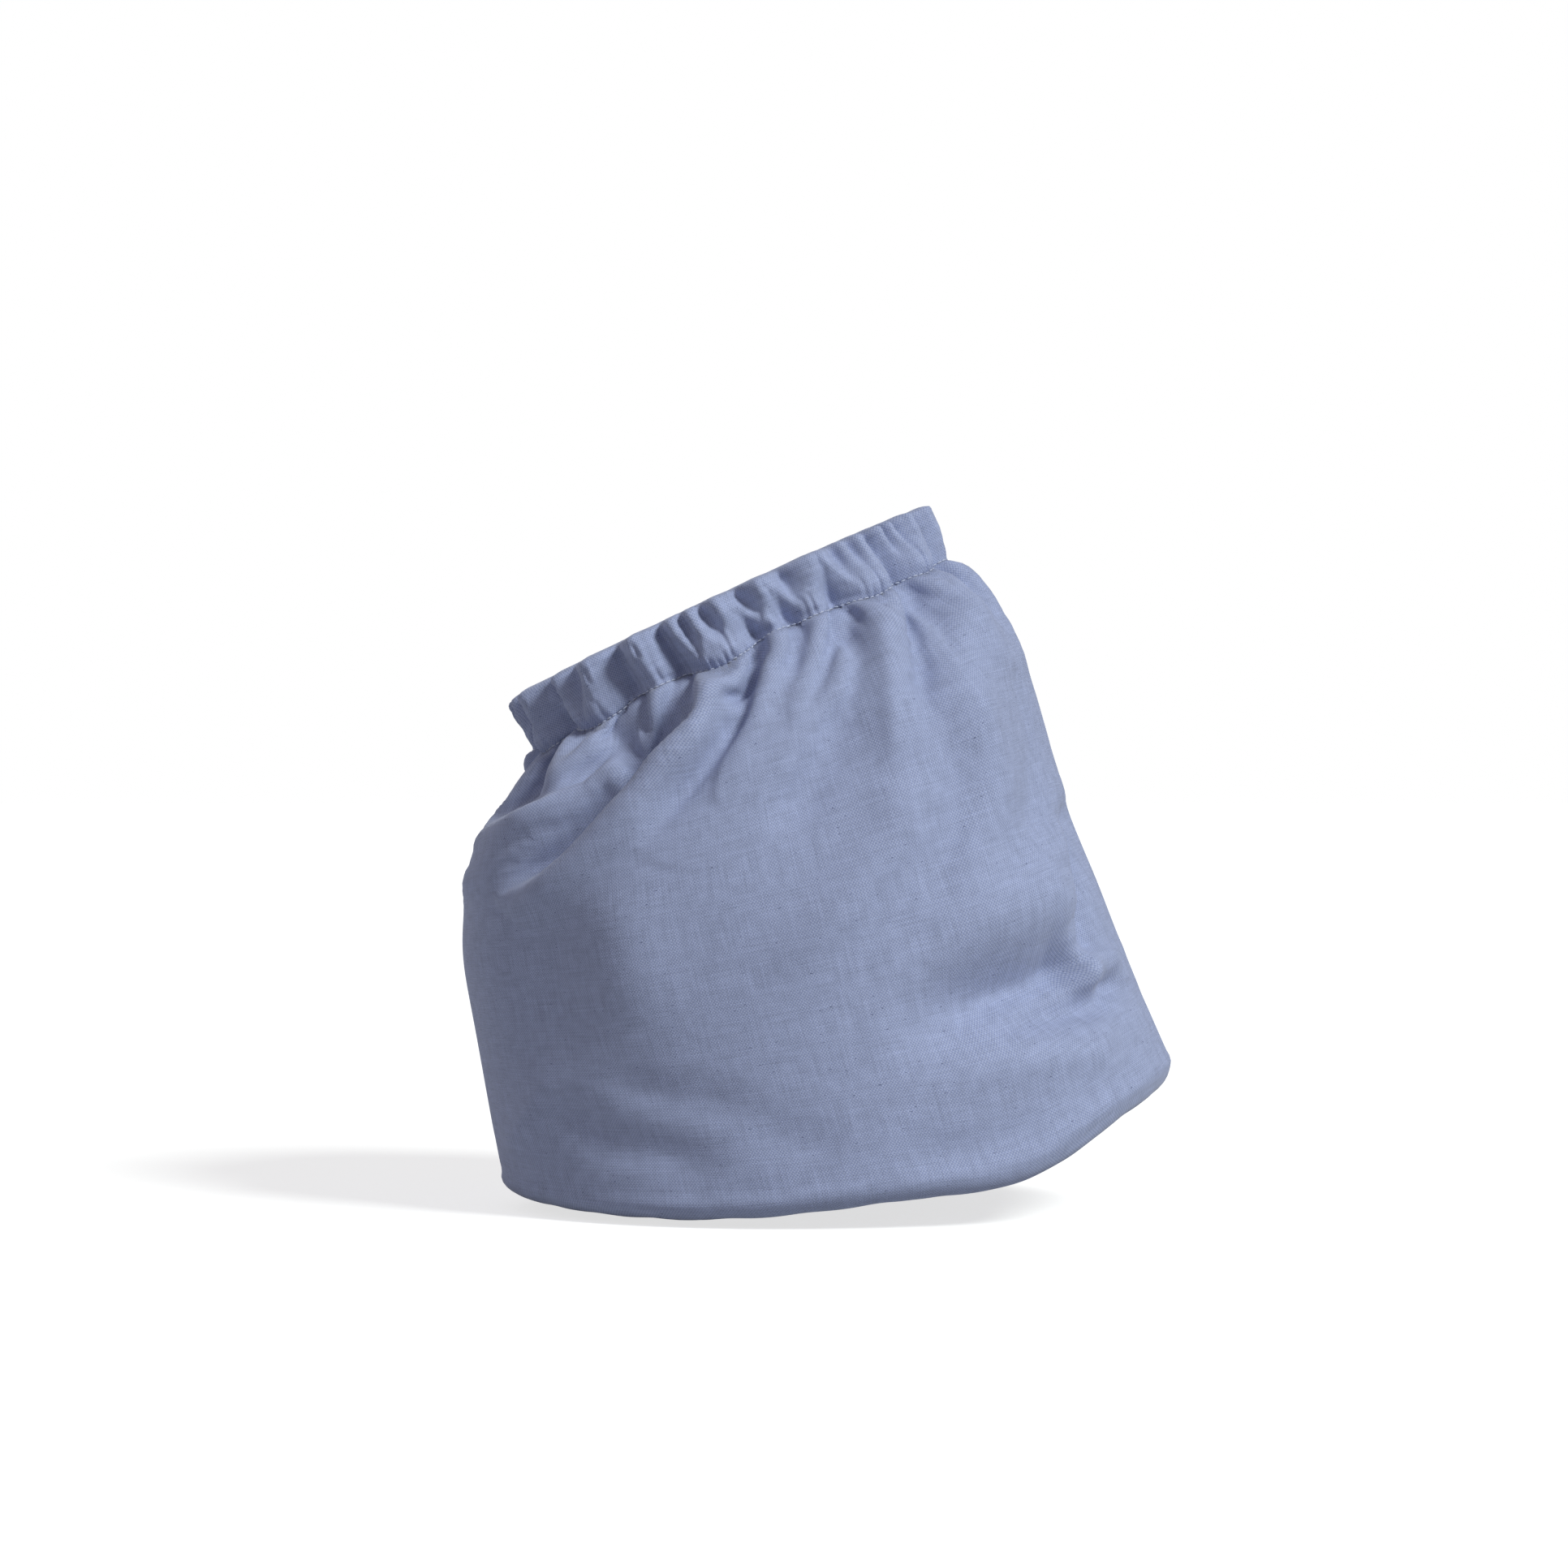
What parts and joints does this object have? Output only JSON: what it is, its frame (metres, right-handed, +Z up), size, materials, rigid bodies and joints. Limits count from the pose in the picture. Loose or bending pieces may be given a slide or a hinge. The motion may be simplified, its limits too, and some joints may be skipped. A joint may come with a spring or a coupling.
{
  "type": "soft recovery collar",
  "caption": "Soft cotton tube collar with a gathered elastic casing at the neck and another rolled under at the shoulders, worn over an animal's neck and ears.",
  "frame": {"origin": "centre of the neck opening, half way up the neck casing", "axes": "+Z up as worn, -X to the front (under the chin), +X to the back of the neck, Y from side to side"},
  "size_m": [0.2391, 0.1872, 0.2316],
  "materials": {
    "cloth": "matt plain-woven cotton, grey blue",
    "elastic": "white woven elastic",
    "thread": "pale blue polyester thread"
  },
  "bodies": {
    "shoulder_end": {"body_panel": "cloth", "shoulder_casing": "cloth", "shoulder_elastic": "elastic", "shoulder_elastic_tack": "thread", "shoulder_stitching": "thread", "seam_allowance": "cloth", "seam_stitching": "thread", "seam_overlock": "thread"},
    "neck_end": {"neck_casing": "cloth", "neck_elastic": "elastic", "neck_elastic_tack": "thread", "neck_stitching": "thread"}
  },
  "joints": [
    {"name": "neck_scrunch", "type": "slide", "parent": "shoulder_end", "child": "neck_end", "axis": [0.21, 0, -0.9777], "range_m": [0, 0.07], "deforming": ["body_panel", "seam_allowance", "seam_stitching", "seam_overlock"]}
  ]
}
